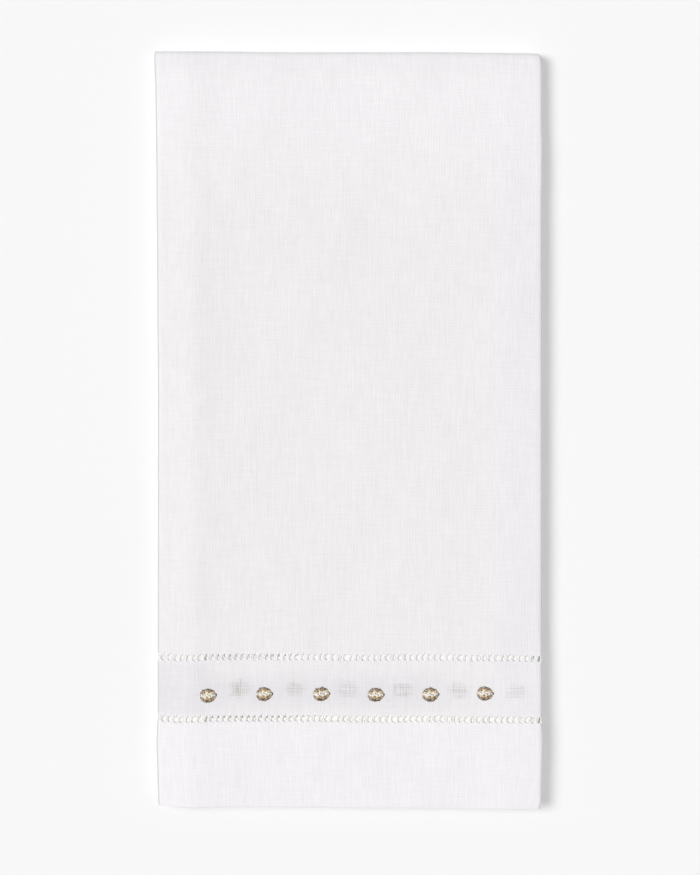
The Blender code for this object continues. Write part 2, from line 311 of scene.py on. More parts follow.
def relief(x, y):
    """The front face's height over the level stack's: ridges, the hem's rise, the fold's fall and waves."""
    height = sum(
        form["height"] * MM * np.exp(-(((x / MM - form["centre"]) / form["half_width"]) ** 2))
        for form in LENGTHWISE_RELIEF
    )
    height = height * read_table(RELIEF_SHARE, y) / MM
    height = height + stepped(HEM_RISE, y) + stepped(FOLD_FALL, y)
    return height + waves(STACK_WAVES, x, y)


def settle(points):
    """Moves points of the level stack to where they lie in the real one.

    Each edge's unevenness fades linearly across the towel, and the wander of the rows fades out on both sides
    of them. Heights lose the sink and are stretched by the relief, so the order of the layers never changes
    and the underside stays flat.
    """
    x, y, z = points[..., 0], points[..., 1], np.maximum(points[..., 2], 0.0)
    rightwards = x / PANEL_WIDTH + 0.5
    upwards = y / FOLDED_LENGTH + 0.5
    moved_x = x + read_table(RIGHT_EDGE, y) * rightwards - read_table(LEFT_EDGE, y) * (1 - rightwards)
    near_rows = smooth_step(*WANDER_BELOW, y) * smooth_step(*WANDER_ABOVE, y)
    moved_y = y + read_table(TOP_EDGE, x) * upwards - read_table(FRONT_END, x) * (1 - upwards)
    moved_y = moved_y + read_table(ROWS_WANDER, x) * near_rows
    moved_z = (z - sink(x, z)) * (1.0 + relief(x, y) / STACK_HEIGHT)
    return np.stack([moved_x, moved_y, moved_z], axis=-1)


# %% [markdown]
# ## One function places everything
#
# `place` takes cloth coordinates and a lift off the face of the cloth. Its last step moves the towel over
# the frame, whose box is centred on the origin.

# %% From cloth coordinates to the folded towel
def pressed_up(x, y, across, behind):
    """How far a flap lies above its level place near the hemmed ends, pressed against the layers over it.

    A flap rises by one space for each layer over it: on the front half the right flap by one and the left
    flap by two, and on the back half the left flap by three and the right one by four. Past the other flap's
    edge what is left over of a missing layer's space is closed too. It fades out at the side folds. Only the
    left fold of the front half is pressed flat: there the rise grows with one less the cosine of the turn.
    """
    space = read_table(SPACE_OVER_FLAP, y - FRONT_END_Y)
    left_over = (LAYER_PITCH - space) * np.minimum(space / (0.6 * MM), 1.0)
    right_fade = smooth_step(RIGHT_CENTRE, RIGHT_CENTRE - np.where(behind, BACK_FADE, FRONT_FADE), x)
    left_turn = part_of(across, LEFT_FOLD_AT, np.pi * LEFT_RADIUS) / LEFT_RADIUS
    flattened = (1 - squared(np.cos(left_turn), SIDE_POWER)) / 2
    left_fade = np.where(behind, smooth_step(LEFT_CENTRE, LEFT_CENTRE + BACK_FADE, x), flattened)
    right = ((1 + behind * 3) * space + behind * 2 * smooth_step(*PAST_LEFT_FLAP, x) * left_over) * right_fade
    left = ((2 + behind) * space + smooth_step(*PAST_RIGHT_FLAP, x) * left_over) * left_fade
    return np.where(across < RIGHT_FOLD_AT, right, np.where(across > LEFT_FOLD_AT, left, 0.0))


def fold_stack(across, along, lift):
    """A place on the folded cloth, before it is moved over the frame.

    The lift is laid off square to the line across. Its height is then laid off upwards on the front half,
    round the top fold and downwards on the back half. Loose flaps wave a little, away from the folds and only
    where the layers have space between them.
    """
    x, height, heading = fold_across(across)
    y, turn = fold_along(along)
    x, height = x + lift * np.sin(heading), height - lift * np.cos(heading)
    lower_drift, upper_drift = (read_table(table, x) for table in (RIGHT_FLAP_LOWER, RIGHT_FLAP_UPPER))
    drift = lower_drift + (upper_drift - lower_drift) * smooth_step(*BETWEEN_ROWS, y)
    drift = drift * (across < RIGHT_FOLD_AT)
    under_left_fold = smooth_step(LEFT_FOLD_AT + np.pi * LEFT_RADIUS / 2, LEFT_FLAP_AT, across)
    drift = drift + read_table(LEFT_FLAP_DRIFT, x) * under_left_fold
    z = STACK_HEIGHT / 2 + height * squared(np.cos(turn), TOP_POWER)
    y = y + height * squared(np.sin(turn), TOP_POWER) + drift * (1 - smooth_step(*DRIFT_FADES, y))
    z = z + pressed_up(x, y, across, turn > np.pi / 2)
    in_flap = (across < RIGHT_FOLD_AT) | (across > LEFT_FLAP_AT)
    loose = smooth_step(*LOOSE_FROM_MIDDLE, np.abs(x / MM))
    loose = loose * smooth_step(*LOOSE_FROM_END, (y - FRONT_END_Y) / MM)
    loose = loose * smooth_step(*LOOSE_BELOW_FOLD, y) * in_flap
    return settle(np.stack([x, y, z + waves(FLAP_WAVES, across, along) * loose], axis=-1))


outline_across, outline_along = np.meshgrid(
    np.linspace(RIGHT_FOLD_AT, LEFT_FLAP_AT, 200), np.linspace(0.0, BACK_AT, 800)
)
outline = fold_stack(outline_across, outline_along, LINEN_THICKNESS / 2)[..., :2].reshape(-1, 2)
towel_low, towel_high = (np.array(corner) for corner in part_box("towel"))
over_frame = (towel_low + towel_high)[:2] / 2 - (outline.min(axis=0) + outline.max(axis=0)) / 2


def place(across, along, lift=0.0):
    """A place on the folded cloth in the frame, from cloth coordinates and a lift off its face."""
    points = fold_stack(across, along, lift)
    points[..., :2] += over_frame
    return points


def panel_across(x):
    """The cloth coordinate of a place on the front panel."""
    return PANEL_AT + RIGHT_CENTRE - (x - over_frame[0])


def panel_along(y):
    """The cloth coordinate of a place on the front half."""
    return y - over_frame[1] - FRONT_END_Y


print("moved over the frame by", (over_frame / MM).round(2), "mm")
print("outline", ((outline.max(axis=0) - outline.min(axis=0)) / MM).round(1), "mm")

# %% [markdown]
# ## Meshes from grids
#
# Each surface is worked out as a whole array of points. Two helpers turn arrays into meshes: one makes
# the faces of a grid, and the other stores points, faces, UVs and smooth shading. UVs hold cloth
# coordinates in metres, so that the weave follows every fold.

# %% Grid and mesh helpers
def grid_faces(rows, columns, first=0, around=False):
    """Four-sided faces of a grid of points. With around, the last column joins the first."""
    count = columns if around else columns - 1
    row, column = np.meshgrid(np.arange(rows - 1) * columns, np.arange(count), indexing="ij")
    after = (column + 1) % columns
    corners = [row + column, row + columns + column, row + columns + after, row + after]
    return np.stack(corners, axis=-1).reshape(-1, 4) + first


def add_piece(name, points, faces, uv, material):
    """A piece at the origin, with its place in its mesh. Faces are arrays of corners, one array a size."""
    mesh = bpy.data.meshes.new(name)
    corners = np.concatenate([group.reshape(-1) for group in faces])
    sizes = np.concatenate([np.full(len(group), group.shape[1]) for group in faces])
    mesh.vertices.add(len(points))
    mesh.vertices.foreach_set("co", points.astype(np.float32).reshape(-1))
    mesh.loops.add(len(corners))
    mesh.loops.foreach_set("vertex_index", corners.astype(np.int32))
    mesh.polygons.add(len(sizes))
    mesh.polygons.foreach_set("loop_start", np.concatenate([[0], np.cumsum(sizes)[:-1]]).astype(np.int32))
    mesh.update(calc_edges=True)
    layer = mesh.uv_layers.new(name="cloth")
    layer.data.foreach_set("uv", uv[corners].astype(np.float32).reshape(-1))
    mesh.shade_smooth()
    mesh.validate()
    mesh.materials.append(material)
    piece = bpy.data.objects.new(name, mesh)
    bpy.context.scene.collection.objects.link(piece)
    triangles = int((sizes - 2).sum())
    print(f"{name}: {len(points)} points, {triangles} triangles")
    return piece


# %% [markdown]
# ## Finishes
#
# Every finish is a Principled shader with a few texture nodes. Colours are written as sRGB hex, as a colour
# picker shows them, and turned to linear light by one function. One small function adds a node with its
# settings and links.

# %% Helpers for finishes
def linear(hex_colour):
    """An sRGB hex colour as linear red, green, blue and alpha."""
    srgb = np.array([int(hex_colour[at:at + 2], 16) for at in (1, 3, 5)]) / 255
    light = np.where(srgb <= 0.04045, srgb / 12.92, ((srgb + 0.055) / 1.055) ** 2.4)
    return (*light.tolist(), 1.0)


def add_node(tree, kind, inputs=None, **settings):
    """A new node. Inputs are named or numbered, and each is a value or another node's output."""
    made = tree.nodes.new(kind)
    for name, value in settings.items():
        setattr(made, name, value)
    for name, value in (inputs or {}).items():
        if isinstance(value, bpy.types.NodeSocket):
            tree.links.new(value, made.inputs[name])
        else:
            made.inputs[name].default_value = value
    return made


def new_finish(name, **sockets):
    """A material with a Principled shader, and numbers that are the same all over set on its sockets."""
    material = bpy.data.materials.new(name)
    material.use_nodes = True
    tree = material.node_tree
    shader = tree.nodes["Principled BSDF"]
    for socket, value in sockets.items():
        shader.inputs[socket.replace("_", " ")].default_value = value
    return material, tree, shader


def calculate(tree, operation, first, second=0.5, third=0.5):
    """The output of a Math node."""
    return add_node(tree, "ShaderNodeMath", {0: first, 1: second, 2: third}, operation=operation).outputs[0]


def of_vectors(tree, operation, first, second):
    """The vector that a Vector Math node makes of two vectors."""
    return add_node(tree, "ShaderNodeVectorMath", {0: first, 1: second}, operation=operation).outputs[0]


def times(tree, vector, factor):
    """A vector or a colour times a number."""
    return add_node(tree, "ShaderNodeVectorMath", {0: vector, "Scale": factor}, operation="SCALE").outputs[0]


# %% [markdown]
# ### Linen
#
# The cloth is bleached flax in plain weave. Flax yarn is uneven: each thread is thick and pale in one place
# and thin and greyish in another, so the cloth shows fine streaks, longest along the warp. Noise that is
# stretched ten times or more along one axis gives such threads, one for the warp and one for the weft.
#
# Under the streaks lies the weave itself. Warp and weft threads are half a millimetre apart, a little coarser
# than real ones so that they show, and each passes over one and under the next. Its tone is a painted shade,
# darker between the threads and paler on their crowns. The cloth is a little sheer: on the front panel the
# dots of the flap below show through as soft brownish patches.

# %% Scales, tones and colours of the linen
WARP_SIZE = (0.42, 6.5)
WEFT_SIZE = (8.0, 0.50)
MOTTLE_SIZE = (9.0, 14.0)
WARP_TONE = 0.17
WEFT_TONE = 0.095
MOTTLE_TONE = 0.02
# How strongly the weave's hollows are painted in shade.
WEAVE_SHADE_TONE = 0.035
WEAVE_MEAN = 0.57
WEAVE_DEPTH_MM = 0.065
STREAK_DEPTH_MM = 0.02
LINEN_COLOUR = "#E9E7E8"
# The hem's own whiter colour, also used for the painted highlight near the top fold.
HEM_WHITE_AND_TOP_LIGHT_COLOUR = "#EDEBED"
SIDE_COLOUR = "#E9E7EA"
BAND_COLOUR = "#E1DFE2"
# Painted shade for the line of the left fold.
FOLD_SHADE_COLOUR = "#CFCED5"
INNER_COLOUR = "#FFF7EB"
SHEER_COLOUR = "#ABA39E"
# Dots of the flap below: places on the front panel in millimetres, and how strongly each shows through.
SHEER_DOTS = (
    (-36.7, -88.1, 1.0), (-18.2, -88.2, 0.68), (-0.2, -88.2, 0.62), (18.3, -88.3, 0.76), (36.8, -88.5, 0.64),
    (56.2, -88.6, 0.54),
)
SHEER_HALF_AXES = (3.4, 2.7)


def stretched_noise(tree, cloth_mm, size, seed):
    """Noise whose grains are size millimetres across and along. Its value is about 0.5 on average."""
    grains = of_vectors(tree, "MULTIPLY", cloth_mm, (1 / size[0], 1 / size[1], 0.0))
    return add_node(
        tree, "ShaderNodeTexNoise", {"Vector": grains, "W": seed, "Scale": 1.0, "Detail": 2.0},
        noise_dimensions="4D",
    ).outputs[0]


def soft_range(tree, value, start, end, low=0.0, high=1.0):
    """A soft step of a value: low before start, high past end."""
    return add_node(
        tree, "ShaderNodeMapRange",
        {"Value": value, "From Min": start, "From Max": end, "To Min": low, "To Max": high},
        interpolation_type="SMOOTHSTEP",
    ).outputs[0]


def soft_window(tree, value, rise, fall):
    """A soft step up between the two places of rise, times a soft step down between those of fall."""
    return calculate(tree, "MULTIPLY", soft_range(tree, value, *rise), soft_range(tree, value, *fall))


def blend_colours(tree, share, first, second):
    """A mix of two colours, each a hex value or a node's output."""
    mix = add_node(tree, "ShaderNodeMix", {"Factor": share}, data_type="RGBA")
    # A Mix node has one set of sockets for each data type, so its colour sockets are found by type.
    for socket, colour in zip([socket for socket in mix.inputs if socket.type == "RGBA"], (first, second)):
        if isinstance(colour, str):
            socket.default_value = linear(colour)
        else:
            tree.links.new(colour, socket)
    return [socket for socket in mix.outputs if socket.type == "RGBA"][0]


# %% The weave
def plain_weave(tree, cloth_mm):
    """The height of the cloth's face in plain weave, from 0 between the threads to 1 on their crowns.

    A thread's own profile is the size of a sine over its place, and noise makes threads thicker and thinner.
    The product of the two sines is positive where the warp lies over and negative where the weft does. Each
    profile is multiplied by its share of that, and the higher one shows.
    """
    parts = add_node(tree, "ShaderNodeSeparateXYZ", {0: cloth_mm})
    sines = []
    for axis, (pitch, grain) in enumerate(((WARP_PITCH / MM, (1.4, 14.0)), (WEFT_PITCH / MM, (14.0, 1.4)))):
        wander = calculate(tree, "MULTIPLY", stretched_noise(tree, cloth_mm, grain, seed=2.6 + axis), 3.2)
        turns = calculate(tree, "MULTIPLY_ADD", parts.outputs[axis], np.pi / pitch, wander)
        sines.append(calculate(tree, "SINE", turns))
    over = calculate(tree, "MULTIPLY", *sines)
    heights = []
    for sine, sign in zip(sines, (0.5, -0.5)):
        profile = calculate(tree, "POWER", calculate(tree, "ABSOLUTE", sine), 0.6)
        heights.append(calculate(tree, "MULTIPLY", profile, calculate(tree, "MULTIPLY_ADD", over, sign, 0.5)))
    return calculate(tree, "MAXIMUM", *heights)


# %% What shows through the front panel
def sheer_dots(tree, cloth_mm, open_places):
    """How much of the dots below shows: soft ovals with a wandering rim, seen best between the threads.

    The oval's distance is the length of the way from its middle over its half axes.
    """
    wander = stretched_noise(tree, cloth_mm, (2.2, 2.0), seed=3.1)
    sheer = 0.0
    for x, y, strength in SHEER_DOTS:
        centre = (panel_across(x * MM) / MM, panel_along(y * MM) / MM, 0.0)
        away = of_vectors(tree, "SUBTRACT", cloth_mm, centre)
        oval = of_vectors(tree, "MULTIPLY", away, (1 / SHEER_HALF_AXES[0], 1 / SHEER_HALF_AXES[1], 1.0))
        distance = add_node(tree, "ShaderNodeVectorMath", {0: oval}, operation="LENGTH").outputs["Value"]
        distance = calculate(tree, "MULTIPLY_ADD", wander, 1.1, calculate(tree, "SUBTRACT", distance, 0.55))
        sheer = calculate(tree, "MAXIMUM", sheer, soft_range(tree, distance, 1.35, 0.4, 0.0, strength))
    return calculate(tree, "MULTIPLY", sheer, soft_range(tree, open_places, -0.14, 0.13, 0.0, 0.76))


# %% The linen
def make_linen():
    """Woven flax: a painted shade of the weave, streaks and mottle over soft regions of colour, and a bump of
    the weave.
    """
    material, tree, shader = new_finish(
        "bleached_linen", Roughness=0.82, Sheen_Weight=0.12, Sheen_Roughness=0.45, Specular_IOR_Level=0.35
    )
    cloth_mm = times(tree, add_node(tree, "ShaderNodeUVMap", uv_map="cloth").outputs[0], 1 / MM)
    parts = add_node(tree, "ShaderNodeSeparateXYZ", {0: cloth_mm})
    warp = stretched_noise(tree, cloth_mm, WARP_SIZE, seed=1.7)
    weft = stretched_noise(tree, cloth_mm, WEFT_SIZE, seed=5.2)
    mottle = stretched_noise(tree, cloth_mm, MOTTLE_SIZE, seed=8.8)
    weave = plain_weave(tree, cloth_mm)
    # The weave's tone is a painted shade: darker between the threads, paler on their crowns.
    tone = 1.0 - 0.5 * (WARP_TONE + WEFT_TONE + MOTTLE_TONE) - WEAVE_MEAN * WEAVE_SHADE_TONE
    for part, strength in ((warp, WARP_TONE), (weft, WEFT_TONE), (mottle, MOTTLE_TONE), (weave, WEAVE_SHADE_TONE)):
        tone = calculate(tree, "MULTIPLY_ADD", part, strength, tone)

    # Doubled cloth hides what lies under it, so the hem is whiter. The cloth near the top fold is painted
    # paler too, a painted highlight where it slopes towards the lamps. The right side, the top fold and the
    # back are a little cooler. The band with the dots is darkest along its middle, over the row of dots below,
    # and the line of the left fold is a painted grey shade where the cloth turns down over the fold.
    across_mm, along_mm = parts.outputs[0], parts.outputs[1]
    panel_at, left_fold_at, left_flap_at = PANEL_AT / MM, LEFT_FOLD_AT / MM, LEFT_FLAP_AT / MM
    in_hem = soft_range(tree, along_mm, 28.9, 28.2)
    painted_top_light = calculate(
        tree, "MINIMUM", soft_range(tree, along_mm, 188.0, 240.0, 0.0, 0.8),
        soft_range(tree, along_mm, 253.0, 243.0),
    )
    near_side = soft_range(tree, across_mm, panel_at + 22.0, panel_at + 8.0)
    near_fold = soft_range(tree, along_mm, 247.0, 251.0)
    in_band = soft_window(tree, along_mm, (30.0, 38.0), (48.0, 39.0))
    away_from_right = soft_range(tree, across_mm, panel_at + 12.0, panel_at + 42.0, 0.05, 0.95)
    # Past the right flap's edge no dots lie below, and the band is evenly grey.
    past_flap = soft_range(tree, across_mm, left_fold_at - 18.0, left_fold_at - 12.0, 0.0, 0.75)
    all_band = soft_window(tree, along_mm, (30.0, 33.0), (50.0, 47.0))
    in_band = calculate(
        tree, "MAXIMUM", calculate(tree, "MULTIPLY", in_band, away_from_right),
        calculate(tree, "MULTIPLY", all_band, past_flap),
    )
    # The grey line of the left fold is a painted shade where the cloth turns down over the fold.
    painted_fold_shade = soft_window(
        tree, across_mm, (left_fold_at + 0.8, left_fold_at + 1.4), (left_flap_at, left_flap_at - 1.0)
    )
    colour = blend_colours(tree, calculate(tree, "MAXIMUM", near_side, near_fold), LINEN_COLOUR, SIDE_COLOUR)
    colour = blend_colours(tree, calculate(tree, "MAXIMUM", in_hem, painted_top_light), colour, HEM_WHITE_AND_TOP_LIGHT_COLOUR)
    colour = blend_colours(tree, in_band, colour, BAND_COLOUR)
    colour = blend_colours(tree, painted_fold_shade, colour, FOLD_SHADE_COLOUR)
    # A tint stands in for the light that real linen lets through. The flaps' cloth is warm where it shows
    # through the drawn rows over it: warmer at the lower row than at the upper one, and warmest in the left
    # flap where two layers lie over it.
    under_rows = soft_window(tree, along_mm, (24.0, 27.0), (58.0, 54.0))
    in_flaps = calculate(
        tree, "MAXIMUM", soft_range(tree, across_mm, RIGHT_FOLD_AT / MM, RIGHT_FOLD_AT / MM - 2.0),
        soft_range(tree, across_mm, left_flap_at, left_flap_at + 2.0),
    )
    in_flaps = calculate(tree, "MULTIPLY", in_flaps, soft_range(tree, along_mm, 38.0, 44.0, 0.75, 0.35))
    under_both = soft_range(tree, across_mm, left_flap_at + 13.0, left_flap_at + 16.0)
    in_flaps = calculate(tree, "MULTIPLY", under_rows, calculate(tree, "MAXIMUM", in_flaps, under_both))
    colour = blend_colours(tree, in_flaps, colour, INNER_COLOUR)
    threads = calculate(tree, "ADD", warp, weft)
    # The places between threads are open: low in the weave, and thin in the streaks.
    open_places = calculate(tree, "SUBTRACT", calculate(tree, "SUBTRACT", 1.5, threads), weave)
    colour = blend_colours(tree, sheer_dots(tree, cloth_mm, open_places), colour, SHEER_COLOUR)
    tree.links.new(times(tree, colour, tone), shader.inputs["Base Color"])

    relief_mm = calculate(
        tree, "MULTIPLY_ADD", weave, WEAVE_DEPTH_MM, calculate(tree, "MULTIPLY", threads, STREAK_DEPTH_MM)
    )
    bump = add_node(tree, "ShaderNodeBump", {"Height": relief_mm, "Strength": 1.0, "Distance": MM})
    tree.links.new(bump.outputs[0], shader.inputs["Normal"])
    return material


linen = make_linen()
print("linen:", len(linen.node_tree.nodes), "nodes")

# %% [markdown]
# ### Threads
#
# The warp threads that are left in the drawn rows are the cloth's own flax. The binding stitches are a
# bleached, twisted cotton, the whitest thing on the towel. The dots are worked in stranded silk: beige, with a
# lustre that runs as a bright band over the top of each padded dot, partly real gloss and partly a painted
# highlight.
#
# Each thread is a tube whose UV holds its number and the place along it, so that one thread can be paler than
# the next, and its ends can be painted darker, a painted shade where they dive into the cloth.

# %% Thread finishes
def make_plain_thread(name, colour, twist_mm, roughness):
    """A spun thread: slanting twist as a painted shade in the tone and as a bump, and a little difference from
    thread to thread.
    """
    material, tree, shader = new_finish(
        name, Roughness=roughness, Sheen_Weight=0.15, Sheen_Roughness=0.5, Specular_IOR_Level=0.35
    )
    uv = add_node(tree, "ShaderNodeUVMap", uv_map="cloth").outputs[0]
    parts = add_node(tree, "ShaderNodeSeparateXYZ", {0: uv})
    own = add_node(
        tree, "ShaderNodeTexNoise", {"W": parts.outputs[0], "Scale": 60.0}, noise_dimensions="1D"
    ).outputs[0]
    # A wave texture on a diagonal repeats once for each pi / 5 that the sum of x, y and z grows.
    in_space = add_node(tree, "ShaderNodeTexCoord").outputs["Object"]
    slant = add_node(
        tree, "ShaderNodeTexWave", {"Vector": in_space, "Scale": np.pi / 5 / (twist_mm * MM)},
        bands_direction="DIAGONAL",
    ).outputs[1]
    # The twist's slanting bands are a painted shade in the tone, and a real bump below.
    tone = calculate(tree, "MULTIPLY_ADD", own, 0.10, calculate(tree, "MULTIPLY_ADD", slant, 0.06, 0.90))
    tree.links.new(times(tree, linear(colour)[:3], tone), shader.inputs["Base Color"])
    bump = add_node(tree, "ShaderNodeBump", {"Height": slant, "Strength": 1.0, "Distance": 0.02 * MM})
    tree.links.new(bump.outputs[0], shader.inputs["Normal"])
    return material


# Colours along a thread of the dots: a painted shade where it dives in, beige on the slopes, and a painted
# highlight near white on the crown.
SILK_RAMP_WITH_SHADE_AND_HIGHLIGHT = (
    (0.00, "#4C3D31"), (0.06, "#7B6955"), (0.20, "#99866E"), (0.39, "#AC9A81"), (0.48, "#E2D6C3"),
    (0.55, "#FFFAF1"), (0.62, "#E2D5BF"), (0.72, "#B8A78F"), (0.85, "#AB9982"), (0.95, "#8E7C66"),
    (1.00, "#4E3F32"),
)
# The UV that the padding and the last stitch have all over: the painted shade near a thread's end.
PAINTED_SHADE_PLACE = (0.5, 0.99)
SILK_STRANDS = 11
GLINTS_ALONG = 9.0


def make_silk():
    """Stranded silk: colour with a painted shade and highlight from the place along the thread, tone from the
    thread's number, painted glints, and gloss.
    """
    material, tree, shader = new_finish(
        "embroidery_silk", Roughness=0.34, Sheen_Weight=0.2, Sheen_Roughness=0.3, Specular_IOR_Level=0.6
    )
    uv = add_node(tree, "ShaderNodeUVMap", uv_map="cloth").outputs[0]
    parts = add_node(tree, "ShaderNodeSeparateXYZ", {0: uv})
    strand = calculate(tree, "FLOOR", calculate(tree, "MULTIPLY", parts.outputs[0], SILK_STRANDS))
    own = add_node(tree, "ShaderNodeTexWhiteNoise", {"W": strand}, noise_dimensions="1D")
    own_parts = add_node(tree, "ShaderNodeSeparateColor", {0: own.outputs["Color"]})
    wander = calculate(tree, "MULTIPLY_ADD", own_parts.outputs[0], 0.16, -0.08)
    ramp = add_node(tree, "ShaderNodeValToRGB", {0: calculate(tree, "ADD", parts.outputs[1], wander)})
    stops = ramp.color_ramp.elements
    while len(stops) < len(SILK_RAMP_WITH_SHADE_AND_HIGHLIGHT):
        stops.new(0.5)
    for stop, (position, colour) in zip(stops, SILK_RAMP_WITH_SHADE_AND_HIGHLIGHT):
        stop.position = position
        stop.color = linear(colour)
    # Painted glints: a glint runs along a pair for about a ninth of its length, half a millimetre on the
    # longest ones, painted into the colour.
    in_length = calculate(tree, "MULTIPLY", parts.outputs[1], GLINTS_ALONG)
    spot = add_node(
        tree, "ShaderNodeCombineXYZ", {0: calculate(tree, "MULTIPLY_ADD", strand, 1.37, 0.5), 1: in_length}
    )
    glints = add_node(tree, "ShaderNodeTexNoise", {"Vector": spot.outputs[0], "Scale": 1.0, "Detail": 1.0})
    glint = soft_range(tree, glints.outputs[0], 0.38, 0.62, 0.46, 1.74)
    own_tone = calculate(tree, "MULTIPLY_ADD", own_parts.outputs[1], 0.6, 0.84)
    shaded = times(tree, ramp.outputs[0], calculate(tree, "MULTIPLY", glint, own_tone))
    at_most_white = of_vectors(tree, "MINIMUM", shaded, (0.96, 0.96, 0.96))
    tree.links.new(at_most_white, shader.inputs["Base Color"])
    return material


drawn_thread = make_plain_thread("drawn_flax_thread", "#F5F4F5", 0.42, 0.75)
binding_thread = make_plain_thread("bleached_cotton_thread", "#F8F7F9", 0.3, 0.65)
silk = make_silk()
print("threads:", drawn_thread.name, binding_thread.name, silk.name)

# %% [markdown]
# ## The cloth
#
# The towel is one sheet with thickness. Where the weft threads were drawn out there is no cloth, only
# loose warp threads, so the sheet is made of three slabs: the hem, the band with the dots and the
# body. Each slab is a grid over cloth coordinates, once for its face and once for its back, joined round the
# rim. Near the rim the thickness shrinks, which rounds the edge.

# %% Rows of drawn threads
ROW_PLACES_Y = (-77.2 * MM, -97.9 * MM)
ROW_OPENING = 1.95 * MM
upper_row, lower_row = (y - FRONT_END_Y for y in ROW_PLACES_Y)
row_edges = [(row - ROW_OPENING / 2, row + ROW_OPENING / 2) for row in (lower_row, upper_row)]
print("rows at", [round(row / MM, 1) for row in (lower_row, upper_row)], "mm from the end of the cloth")

# %% The sheet
RIM_STEPS = np.array([0.0, 0.05, 0.14, 0.30]) * MM
RIM_SHARES = [0.35, 0.72, 0.93, 1.0]


def stations(*stretches):
    """Places along a line: a start, then for each stretch its end and the length of its steps."""
    places = [stretches[0]]
    for end, step in stretches[1:]:
        parts = max(1, round(abs(end - places[-1]) / step))
        places.extend(np.linspace(places[-1], end, parts + 1)[1:])
    return np.array(places)


def with_rims(start, end, inner):
    """The places of a slab's rows or columns: rim, inner places and rim."""
    kept = inner[(inner > start + 2 * RIM_STEPS[-1]) & (inner < end - 2 * RIM_STEPS[-1])]
    return np.concatenate([start + RIM_STEPS, kept, end - RIM_STEPS[::-1]])


def rim_share(places):
    """The share of the thickness at each place: small at both ends, whole between them."""
    inwards = np.minimum(places - places[0], places[-1] - places)
    return np.interp(inwards, RIM_STEPS, RIM_SHARES)


def slab(across, along, thick):
    """Points, faces and UVs of a closed slab: its face, its back, and a rim of quads between them."""
    flat_across, flat_along = np.meshgrid(across, along)
    half = thick / 2 * rim_share(across)[None, :] * rim_share(along)[:, None]
    face, back = place(flat_across, flat_along, half), place(flat_across, flat_along, -half)
    rows, columns = flat_across.shape
    count = rows * columns
    inside = np.arange(count).reshape(rows, columns)
    border = np.concatenate([inside[0, :-1], inside[:-1, -1], inside[-1, :0:-1], inside[:0:-1, 0]])
    following = np.roll(border, -1)
    rim = np.stack([border, following, following + count, border + count], axis=1)
    faces = np.concatenate([grid_faces(rows, columns), grid_faces(rows, columns, count)[:, ::-1], rim])
    uv = np.stack([flat_across, flat_along], axis=-1).reshape(-1, 2)
    return np.concatenate([face.reshape(-1, 3), back.reshape(-1, 3)]), faces, np.concatenate([uv, uv])


# Steps are short where the cloth turns, where a flap is pressed up and at the hemmed end.
FOLD_STEP = 0.45 * MM
columns = stations(
    0.0, (SIDE_HEM_DEPTH, 2 * MM), (RIGHT_FOLD_AT - 6 * MM, 4 * MM), (RIGHT_FOLD_AT, 0.8 * MM),
    (PANEL_AT, FOLD_STEP), (PANEL_AT + 12 * MM, 1.2 * MM), (LEFT_FOLD_AT - 20 * MM, 1.8 * MM),
    (LEFT_FOLD_AT, 1.2 * MM), (LEFT_FLAP_AT, FOLD_STEP), (LEFT_FLAP_AT + 9 * MM, 3 * MM),
    (LEFT_FLAP_AT + 18 * MM, 0.8 * MM), (CLOTH_WIDTH - SIDE_HEM_DEPTH, 4 * MM), (CLOTH_WIDTH, 2 * MM),
)
across = with_rims(0.0, CLOTH_WIDTH, columns)
in_side_hem = np.minimum(across, CLOTH_WIDTH - across) < SIDE_HEM_DEPTH
all_rows = stations(
    0.0, (2 * MM, 0.5 * MM), (24 * MM, 2 * MM), (60 * MM, 1.2 * MM), (FRONT_RUN - 25 * MM, 2 * MM),
    (FRONT_RUN, 1.3 * MM), (BACK_AT, 0.7 * MM), (ALONG_END - 30 * MM, 5 * MM), (ALONG_END, 3 * MM),
)
slab_ends = [
    (0.0, row_edges[0][0], HEM_THICKNESS),
    (row_edges[0][1], row_edges[1][0], LINEN_THICKNESS),
    (row_edges[1][1], ALONG_END, LINEN_THICKNESS),
]
points, faces, uvs, first = [], [], [], 0
for start, end, thick in slab_ends:
    along = with_rims(start, end, all_rows)
    in_end_hem = along > ALONG_END - row_edges[0][0]
    thickness = np.where(in_end_hem, HEM_THICKNESS, thick)[:, None]
    thickness = np.maximum(thickness, np.where(in_side_hem, SIDE_HEM_THICKNESS, 0.0)[None, :])
    slab_points, slab_faces, slab_uv = slab(across, along, thickness)
    points.append(slab_points)
    faces.append(slab_faces + first)
    uvs.append(slab_uv)
    first += len(slab_points)
towel = add_piece("linen_towel", np.concatenate(points), [np.concatenate(faces)], np.concatenate(uvs), linen)

# %% [markdown]
# ## Tubes for threads
#
# A thread is a profile carried along a path. The path is worked out in cloth coordinates, and a second
# path a hair beside it gives a way that is never the thread's own. The cross product of the thread's
# direction and that way gives the other axis of the round profile. All threads of a kind are one array.

